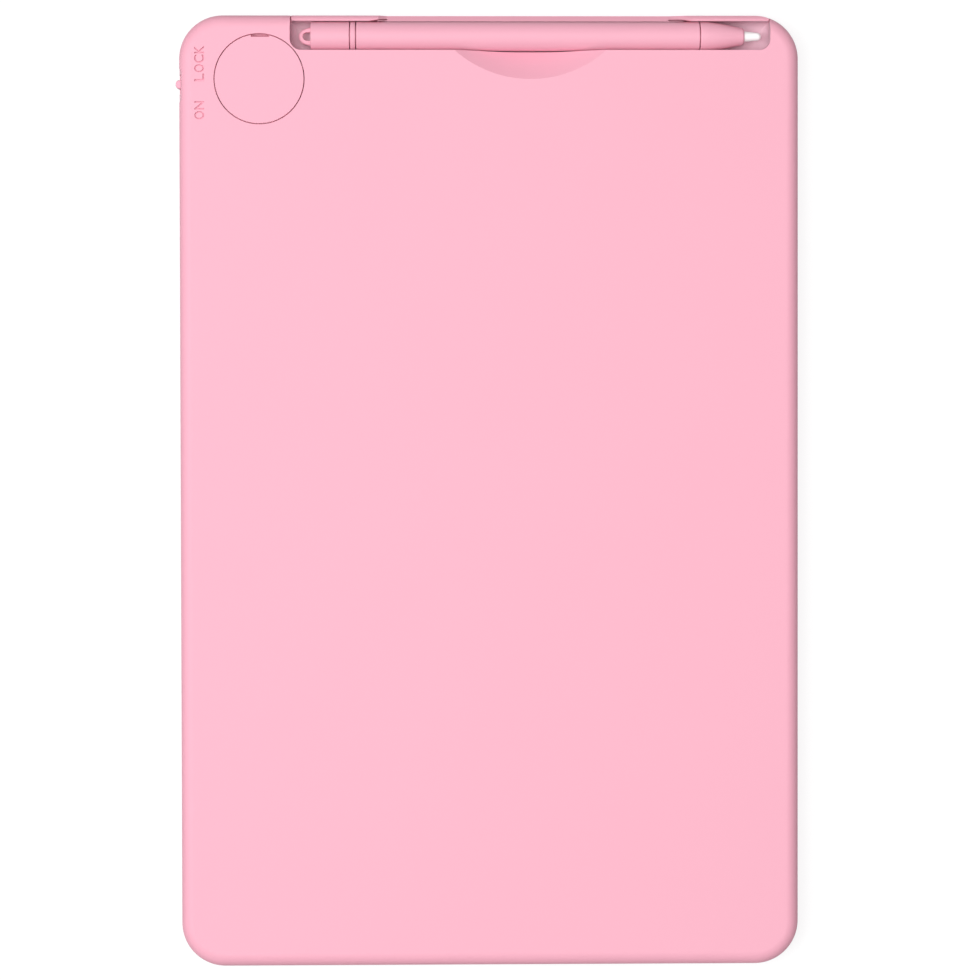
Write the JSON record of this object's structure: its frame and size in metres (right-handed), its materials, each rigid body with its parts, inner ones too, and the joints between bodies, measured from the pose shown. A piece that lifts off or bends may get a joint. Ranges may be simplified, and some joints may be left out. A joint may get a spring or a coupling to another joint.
{
  "type": "lcd writing tablet",
  "caption": "Slim pink writing tablet, back up, with a stylus in a slot along its top edge, a round battery cover and a side lock slider.",
  "frame": {"origin": "middle of the tablet's front face, which lies on the desk", "axes": "+Z from the screen side to the back, +Y along the tablet towards the stylus, +X to the right seen from the back"},
  "size_m": [0.147, 0.225, 0.0095],
  "materials": {
    "casing": "fine satin, moulded in colour",
    "white_plastic": "smooth satin",
    "film": "hard-coated, slightly matt",
    "tape": "matt",
    "backing": "matt sheet",
    "foam": "open-cell foam",
    "board": "solder resist",
    "resin": "moulded resin",
    "ceramic": "fired ceramic",
    "flex": "polyimide film",
    "steel": "nickel-plated steel"
  },
  "bodies": {
    "tablet": {"back_shell": "casing", "front_bezel": "casing", "writing_film": "film", "film_tape": "tape", "backing_board": "backing", "foam_strip_left": "foam", "foam_strip_middle": "foam", "foam_strip_right": "foam", "main_board": "board", "driver_chip": "resin", "boost_coil": "resin", "resistor": "resin", "capacitor_lower": "ceramic", "capacitor_upper": "ceramic", "film_tail": "flex", "tail_socket": "white_plastic", "switch_case": "steel", "board_screw_left": "steel", "board_screw_right": "steel", "metal_dome": "steel", "positive_contact": "steel", "negative_contact": "steel"},
    "stylus": {"stylus_tail_cap": "casing", "stylus_ring": "casing", "stylus_barrel": "casing", "stylus_nose": "casing", "stylus_nib": "white_plastic"},
    "cover": {"battery_cover": "casing"},
    "cell": {"coin_cell": "steel"},
    "lock": {"lock_slider": "casing", "switch_lever": "resin"},
    "button": {"erase_button": "white_plastic"}
  },
  "joints": [
    {"name": "stylus_lift", "type": "slide", "parent": "tablet", "child": "stylus", "axis": [0, 0, 1], "range_m": [0, 0.03]},
    {"name": "cover_lift", "type": "slide", "parent": "tablet", "child": "cover", "axis": [0, 0, 1], "range_m": [0, 0.02]},
    {"name": "cell_lift", "type": "slide", "parent": "tablet", "child": "cell", "axis": [0, 0, 1], "range_m": [0, 0.01]},
    {"name": "lock_slide", "type": "slide", "parent": "tablet", "child": "lock", "axis": [0, 1, 0], "range_m": [-0.001, 0.001]},
    {"name": "erase_press", "type": "slide", "parent": "tablet", "child": "button", "axis": [0, 0, 1], "range_m": [0, 0.0003], "stiffness_N_per_m": 3000, "deforming": ["metal_dome"]}
  ],
  "couplings": [
    {"joint": "cell_lift", "follows": "cover_lift", "ratio": 0.5}
  ]
}
